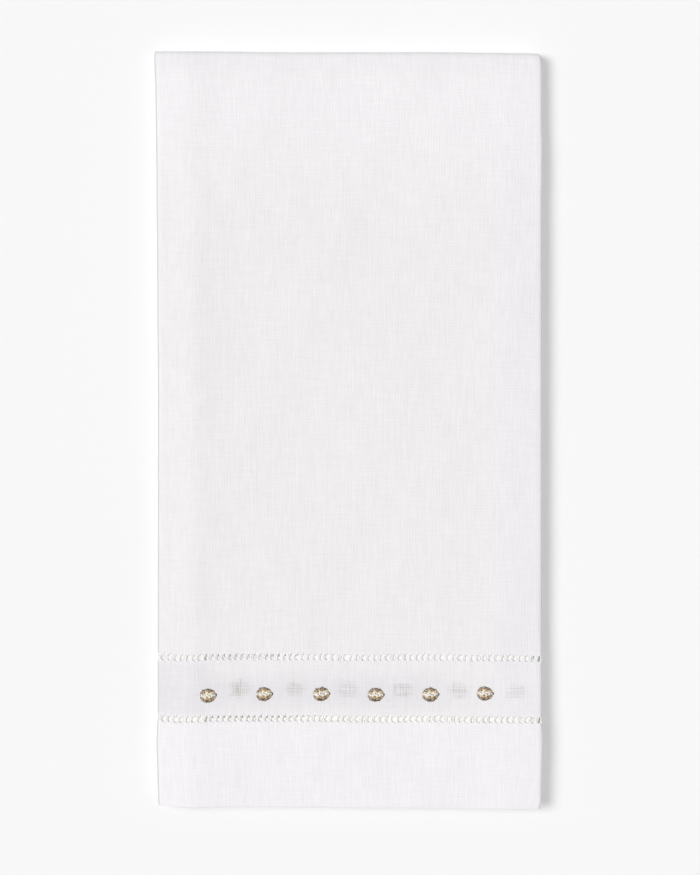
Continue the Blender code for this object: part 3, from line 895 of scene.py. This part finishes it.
# %% The tube helper
def tubes(paths, ups, radii, sides):
    """Closed tubes. Paths and ups are arrays of threads by rings by 3, and radii of threads by rings.

    Each ring is the path's point plus radius times (cosine of an angle times the way up plus sine times
    the sideways axis). Two flat caps close each tube.
    """
    count, rings = radii.shape
    direction = np.gradient(paths, axis=1)
    direction /= np.linalg.norm(direction, axis=2, keepdims=True)
    sideways = np.cross(direction, ups)
    sideways /= np.linalg.norm(sideways, axis=2, keepdims=True)
    ups = np.cross(sideways, direction)
    angle = np.arange(sides) * 2 * np.pi / sides
    ring = ups[:, :, None] * np.cos(angle)[:, None] + sideways[:, :, None] * np.sin(angle)[:, None]
    points = paths[:, :, None] + ring * radii[:, :, None, None]
    firsts = np.arange(count) * rings * sides
    walls = (grid_faces(rings, sides, around=True)[None] + firsts[:, None, None]).reshape(-1, 4)
    start = firsts[:, None] + np.arange(sides)[None, :]
    caps = np.concatenate([start, start[:, ::-1] + (rings - 1) * sides])
    number = np.repeat((np.arange(count) + 0.5) / count, rings * sides)
    along = np.tile(np.repeat(np.linspace(0.0, 1.0, rings), sides), count)
    return points.reshape(-1, 3), [walls, caps], np.stack([number, along], axis=1)


def on_cloth(across, along, lift, step=(0.0, 0.0, 0.05 * MM)):
    """Paths on the cloth, and a way from each of their points: straight up, or that of another small step."""
    here = place(across, along, lift)
    way = place(across + step[0], along + step[1], lift + step[2]) - here
    return here, way / np.linalg.norm(way, axis=-1, keepdims=True)


def join(*parts):
    """Points, faces by size and UVs of several shapes as one. Faces of one shape are a list of arrays."""
    firsts = np.cumsum([0] + [len(points) for points, _, _ in parts[:-1]])
    faces = [group + first for (_, groups, _), first in zip(parts, firsts) for group in groups]
    return np.concatenate([part[0] for part in parts]), faces, np.concatenate([part[2] for part in parts])


# %% [markdown]
# ## The drawn rows
#
# In each row the weft was pulled out over two millimetres. What is left are warp threads,
# which the hemstitch gathers into bundles. Each bundle has four threads. They leave the cloth spread evenly,
# run close together through the opening, and spread again. The bundles lean and bow a little, each in
# its own way.

# %% Bundles
THREAD_RADIUS = 0.175 * MM
GATHERED = 0.29 * MM
SPREAD = WARP_PITCH
LEAN = -0.45 * MM
BOW = 0.07 * MM
BUNDLE_RINGS = 11
random = np.random.default_rng(23)


def bundle_paths(edges):
    """Cloth coordinates of a row's threads, as arrays of bundles by threads by rings.

    A thread's distance from its bundle's middle goes from spread to gathered and back with a smooth step.
    The bundle's middle leans linearly and bows as a half sine.
    """
    share = np.linspace(-0.35, 1.35, BUNDLE_RINGS)[None, None, :]
    along = edges[0] + (edges[1] - edges[0]) * share
    middle = (np.arange(BUNDLE_COUNT) + 0.5)[:, None, None] * BUNDLE_PITCH
    middle = middle + random.normal(0.0, 0.07 * MM, (BUNDLE_COUNT, 1, 1))
    lean = LEAN + random.normal(0.0, 0.11 * MM, (BUNDLE_COUNT, 1, 1))
    bow = BOW + random.normal(0.0, 0.08 * MM, (BUNDLE_COUNT, 1, 1))
    inside = np.clip(share, 0.0, 1.0)
    middle = middle + lean * (inside - 0.5) + bow * np.sin(np.pi * inside)
    gather = smooth_step(-0.2, 0.3, share) * smooth_step(1.2, 0.7, share)
    numbers = (np.arange(THREADS_IN_BUNDLE) - (THREADS_IN_BUNDLE - 1) / 2)[None, :, None]
    apart = SPREAD + (GATHERED - SPREAD) * gather
    each_thread = (BUNDLE_COUNT, THREADS_IN_BUNDLE, 1)
    jitter = random.normal(0.0, 0.04 * MM, each_thread) * gather
    rise = random.normal(0.0, 0.07 * MM, each_thread).clip(-0.1 * MM, 0.08 * MM) * gather
    across = middle + numbers * apart + jitter
    lift = rise + 0.06 * MM * np.cos(2.2 * numbers) * gather
    return np.broadcast_arrays(across, along, lift)


rows_of_threads = [bundle_paths(edges) for edges in row_edges]
across, along, lift = (
    np.concatenate([row[part].reshape(-1, BUNDLE_RINGS) for row in rows_of_threads]) for part in range(3)
)
paths, ups = on_cloth(np.clip(across, 0.1 * MM, CLOTH_WIDTH - 0.1 * MM), along, lift)
radii = np.full(across.shape, THREAD_RADIUS) * random.uniform(0.85, 1.15, (len(across), 1))
drawn_threads = add_piece("drawn_warp_threads", *tubes(paths, ups, radii, 5), drawn_thread)

# %% [markdown]
# ## The binding stitches
#
# At both edges of a row the sewing thread is wrapped twice round each bundle, and a short upright stitch
# takes it through the edge of the cloth before it goes to the next bundle. These white bars give the rows
# their beaded look. Both are arches with their ends under the face of the cloth. A wrap's height is half a
# sine, and an upright's is that raised to a power under one, which makes it flatter.
#
# Only the front panel and its two folds get them. The rows of the hidden flaps have the bundles alone.

# %% Wraps and upright stitches
STITCH_RADIUS = 0.12 * MM
STITCH_RINGS = 7
WRAP_REACH = 0.60 * MM
TURNS_APART = 0.20 * MM
UPRIGHT_LENGTH = 0.95 * MM
middles = (np.arange(BUNDLE_COUNT) + 0.5) * BUNDLE_PITCH
stitched = middles[(middles > RIGHT_FOLD_AT) & (middles < LEFT_FLAP_AT)]


def stitch_paths(edge, outwards, thick):
    """Cloth coordinates of one edge's stitches, as an array each for across, along and lift.

    Each array holds two wraps and one upright for each bundle. Outwards is +1 or -1 along. A wrap goes over
    its bundle as half an ellipse, and the second one lies beside the first, on the side of the opening.
    """
    share = np.linspace(0.0, 1.0, STITCH_RINGS)[None, :]
    arch = np.sin(np.pi * share)
    jitter = random.normal(0.0, 0.05 * MM, (3, len(stitched), 1))
    middle = stitched[:, None]
    across, along, lift = [], [], []
    for turn in (0, 1):
        across.append(middle + WRAP_REACH * np.cos(np.pi * share) + jitter[0])
        slant = 0.10 * MM * (share - 0.5)
        along.append(edge - outwards * (0.06 * MM + turn * TURNS_APART + slant) + jitter[1] * 0.6)
        lift.append(-0.1 * MM + 0.36 * MM * arch + 0 * middle)
    across.append(middle + BUNDLE_PITCH / 2 - 0.22 * MM * share + jitter[2])
    along.append(edge + outwards * (UPRIGHT_LENGTH * share - 0.05 * MM) + jitter[1])
    lift.append(-0.05 * MM + (thick / 2 + 0.16 * MM) * arch ** 0.6 + 0 * middle)
    return np.stack(across), np.stack(along), np.stack(lift)


stitches = [
    stitch_paths(row_edges[0][0], -1, HEM_THICKNESS), stitch_paths(row_edges[0][1], 1, LINEN_THICKNESS),
    stitch_paths(row_edges[1][0], -1, LINEN_THICKNESS), stitch_paths(row_edges[1][1], 1, LINEN_THICKNESS),
]
across, along, lift = (np.concatenate([edge[part] for edge in stitches], axis=1) for part in range(3))
# A wrap dives straight into the cloth, so its rings are set out from the way along, and an upright's from the
# way across.
wraps = [path[:2].reshape(-1, STITCH_RINGS) for path in (across, along, lift)]
uprights = [path[2] for path in (across, along, lift)]
stitch_tubes = []
for paths_on_cloth, step in ((wraps, (0.0, 0.05 * MM, 0.0)), (uprights, (0.05 * MM, 0.0, 0.0))):
    paths, ways = on_cloth(*paths_on_cloth, step)
    radii = STITCH_RADIUS * (0.75 + 0.25 * np.sin(np.pi * np.linspace(0, 1, STITCH_RINGS)))[None, :]
    radii = radii * random.uniform(0.85, 1.15, (len(paths), 1))
    stitch_tubes.append(tubes(paths, ways, radii, 6))
binding_stitches = add_piece("binding_stitches", *join(*stitch_tubes), binding_thread)

# %% [markdown]
# ## The embroidered dots
#
# Each dot is padded satin stitch: close threads laid side by side over a little mound, from the lower
# edge of the shape to its upper edge. The outline is a lemon, a little pointed at the right, where the last
# small stitch ties off the thread. The threads fan out slightly, more on some dots than on others.
#
# The frame says where each dot is. A dot is twenty-two threads over a low mound, so that no cloth shows
# between them. The mound is a darker brown, a painted shade in the gaps between the threads. The threads are a
# little coarser than real silk, so that they show. The silk is worked with two strands in the needle, so they
# lie in pairs of one tone and about one length.

# %% One dot's threads
DOT_WIDTH = 5.3 * MM
DOT_LENGTH = 4.85 * MM
# A dot reaches a little less far down from its middle than up.
LOWER_SHARE = 0.94
DOT_HEIGHT = 0.85 * MM
SILK_THREADS = 2 * SILK_STRANDS
SILK_RADIUS = 0.135 * MM
SILK_RINGS = 13
MOUND_SIDES = 24
# For each dot: how much its threads fan out at the top and at the bottom, and the turn of the whole dot.
DOT_CHARACTER = (
    (0.12, -0.30, 0.10), (-0.10, -0.16, 0.05), (0.12, 0.08, 0.08), (0.06, -0.12, 0.0), (-0.10, 0.12, 0.05),
    (0.10, -0.14, 0.0),
)


def face_height(x, y):
    """The height of the front panel's face at places in the frame."""
    return place(panel_across(x), panel_along(y), LINEN_THICKNESS / 2)[..., 2]


def lemon(share):
    """Half the dot's length at a place from -1, its left end, to 1: a fat arc, lower towards the right."""
    arc = np.clip(1 - np.abs(share) ** 2.5, 0.0, 1.0) ** 0.5
    return arc * (1 - 0.08 * np.clip(share, 0.0, 1.0) ** 2)


def turned(points_x, points_y, middle, turn):
    """Places in the dot turned about its middle and moved to it."""
    x = middle[0] + points_x * np.cos(turn) - points_y * np.sin(turn)
    y = middle[1] + points_x * np.sin(turn) + points_y * np.cos(turn)
    return x, y


def dot_threads(middle, fan_top, fan_bottom, turn):
    """Paths, ways up and radii of the threads of one dot.

    A thread runs from a place on the lemon's lower edge to one on its upper edge, and the fan moves these two
    places apart or together sideways. Between them the way is straight, and its height is an arch over
    t, which goes from -1 at the bottom to 1 at the top.
    """
    start = np.linspace(-0.96, 0.96, SILK_THREADS)[:, None]
    start = start + random.normal(0.0, 0.012, start.shape)
    t = np.linspace(-1.0, 1.0, SILK_RINGS)[None, :]
    bottom = np.clip(start * (1 + fan_bottom * (1 - start ** 2)), -0.98, 0.98)
    top = np.clip(start * (1 + fan_top * (1 - start ** 2)), -0.98, 0.98)
    longer = 1 + np.repeat(random.uniform(-0.09, 0.07, (SILK_STRANDS, 2)), 2, axis=0)
    longer = longer + random.normal(0.0, 0.02, (SILK_THREADS, 2))
    low_y, high_y = -LOWER_SHARE * lemon(bottom) * longer[:, :1], lemon(top) * longer[:, 1:]
    share = (t + 1) / 2
    x = (bottom + (top - bottom) * share) * DOT_WIDTH / 2
    y = (low_y + (high_y - low_y) * share) * DOT_LENGTH / 2
    arch = np.clip(1 - np.abs(t) ** 2.6, 0.0, 1.0) ** 0.5
    proud = np.repeat(random.normal(0.0, 0.05 * MM, (SILK_STRANDS, 1)), 2, axis=0)
    lift = DOT_HEIGHT * lemon(start) ** 0.55 * arch - 0.08 * MM + proud * arch
    x, y = turned(x, y, middle, turn)
    paths = np.stack([x, y, face_height(x, y) + lift], axis=-1)
    ups = np.stack([0 * x, 0.8 * t + 0 * x, 1 + 0 * x], axis=-1)
    radii = SILK_RADIUS * (1 - 0.3 * np.abs(t) ** 4) * random.uniform(0.88, 1.12, start.shape)
    return paths, ups, radii


def tie_off(middle, turn):
    """The last small stitch at the right tip: a short arch, dark with the painted shade of a thread's end,
    that runs almost along the towel.
    """
    t = np.linspace(-1.0, 1.0, SILK_RINGS)[None, :]
    x, y = turned(DOT_WIDTH / 2 + 0.10 * MM + 0.12 * MM * t, -0.05 * MM + 0.34 * MM * t, middle, turn)
    paths = np.stack([x, y, face_height(x, y) + 0.25 * MM * (1 - t ** 2) - 0.05 * MM], axis=-1)
    ups = np.stack([0 * x, 0.8 * t, 1 + 0 * x], axis=-1)
    points, faces, _ = tubes(paths, ups, np.full(x.shape, 0.24 * MM), 6)
    return points, faces, np.tile(PAINTED_SHADE_PLACE, (len(points), 1))


def mound(middle, turn):
    """The padding under the threads: a dome over an oval, from a small ring at its top to its rim.

    The rings are shares of the oval. The height is the dots' height times the root of one less the cube of
    the share, less a little to keep it under the threads. A copy of the rim a hair lower is the base.
    """
    share = np.array([0.02, 0.3, 0.55, 0.75, 0.88, 0.96])[:, None]
    angle = np.linspace(0.0, 2 * np.pi, MOUND_SIDES + 1)[:-1][None, :]
    x = share * DOT_WIDTH / 2 * 0.97 * np.cos(angle)
    y = share * DOT_LENGTH / 2 * 0.95 * np.sin(angle)
    x, y = turned(x, y, middle, turn)
    height = face_height(x, y) + (DOT_HEIGHT - 0.12 * MM) * (1 - share ** 3) ** 0.5 - 0.12 * MM
    top = np.stack([x, y, height], axis=-1)
    base = top[-1:] - np.array([0.0, 0.0, 0.1 * MM])
    points = np.concatenate([top, base])
    count = len(points)
    walls = grid_faces(count, MOUND_SIDES, around=True)[:, ::-1]
    ring = np.arange(MOUND_SIDES)
    caps = np.stack([ring, (count - 1) * MOUND_SIDES + ring[::-1]])
    return points.reshape(-1, 3), [walls, caps], np.tile(PAINTED_SHADE_PLACE, (count * MOUND_SIDES, 1))


# %% All the dots
dots = []
for number, (fan_top, fan_bottom, turn) in enumerate(DOT_CHARACTER, start=1):
    low, high = (np.array(corner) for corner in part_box(f"dot_{number}"))
    middle = (low + high)[:2] / 2
    threads = tubes(*dot_threads(middle, fan_top, fan_bottom, turn), 6)
    dot = join(threads, tie_off(middle, turn), mound(middle, turn))
    dots.append(add_piece(f"satin_dot_{number}", *dot, silk))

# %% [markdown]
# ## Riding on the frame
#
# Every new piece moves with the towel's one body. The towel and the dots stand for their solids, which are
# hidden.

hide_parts("towel")
for number, dot in enumerate(dots, start=1):
    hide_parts(f"dot_{number}")
for piece in (towel, drawn_threads, binding_stitches, *dots):
    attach(piece, body)
print("pieces:", 3 + len(dots))

# %% [markdown]
# ## The studio
#
# The towel lies on a pale floor, seen from straight above. A broad light stands high at the left: its shadow
# is a narrow soft band along the right edge. A second light from overhead and a dim sky fill the rest. The
# standard view keeps whites white.

# %% Floor, lights and camera
FLOOR_COLOUR = "#F0F0F0"
floor_finish, _, floor_shader = new_finish("pale_matt_floor", Roughness=0.95, Specular_IOR_Level=0.1)
floor_shader.inputs["Base Color"].default_value = linear(FLOOR_COLOUR)
FLOOR_REACH = 6.0
FLOOR_HEIGHT = -0.0001
floor_corners = FLOOR_REACH * np.array([(-1.0, -1.0), (1.0, -1.0), (1.0, 1.0), (-1.0, 1.0)])
floor_points = np.column_stack([floor_corners, np.full(4, FLOOR_HEIGHT)])
floor = add_piece("floor", floor_points, [np.array([[0, 1, 2, 3]])], floor_points[:, :2], floor_finish)
floor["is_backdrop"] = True


def add_sun(name, strength, width, towards):
    """A sun whose light comes from a direction given as a vector. Width is its angle in degrees."""
    light = bpy.data.lights.new(name, "SUN")
    light.energy = strength
    light.angle = np.radians(width)
    sun = bpy.data.objects.new(name, light)
    sun.rotation_euler = Vector(towards).to_track_quat("Z", "Y").to_euler()
    bpy.context.scene.collection.objects.link(sun)


add_sun("left_light", 1.75, 28, (-0.57, 0.04, 1.0))
add_sun("overhead_light", 1.12, 6, (0.0, 0.0, 1.0))

world = bpy.data.worlds.new("dim_sky")
world.use_nodes = True
bpy.context.scene.world = world
sky_tree = world.node_tree
sky = sky_tree.nodes["Background"]
sky.inputs["Color"].default_value = (1.0, 1.0, 1.0, 1.0)
# The sky is brighter at the horizon than overhead.
direction = add_node(sky_tree, "ShaderNodeTexCoord").outputs["Generated"]
upwards = add_node(sky_tree, "ShaderNodeSeparateXYZ", {0: direction}).outputs[2]
strength = add_node(sky_tree, "ShaderNodeMapRange", {"Value": upwards, "To Min": 0.42, "To Max": 0.15})
sky_tree.links.new(strength.outputs[0], sky.inputs["Strength"])

VIEW_HEIGHT = 294.9 * MM
VIEW_MIDDLE = (0.0006, -0.0027)
VIEW_LEVEL = 0.006
LENS = 135.0
SENSOR = 36.0
camera_data = bpy.data.cameras.new("camera")
camera_data.lens = LENS
camera_data.sensor_fit = "VERTICAL"
camera_data.sensor_width = SENSOR
camera_data.sensor_height = SENSOR
camera = bpy.data.objects.new("camera", camera_data)
camera.location = (*VIEW_MIDDLE, VIEW_HEIGHT * LENS / SENSOR + VIEW_LEVEL)
bpy.context.scene.collection.objects.link(camera)
bpy.context.scene.camera = camera
bpy.context.scene.view_settings.view_transform = "Standard"

# %% Print the sizes and finish
low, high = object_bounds()
print("visual size", [round((b - a) / MM, 1) for a, b in zip(low, high)], "mm")
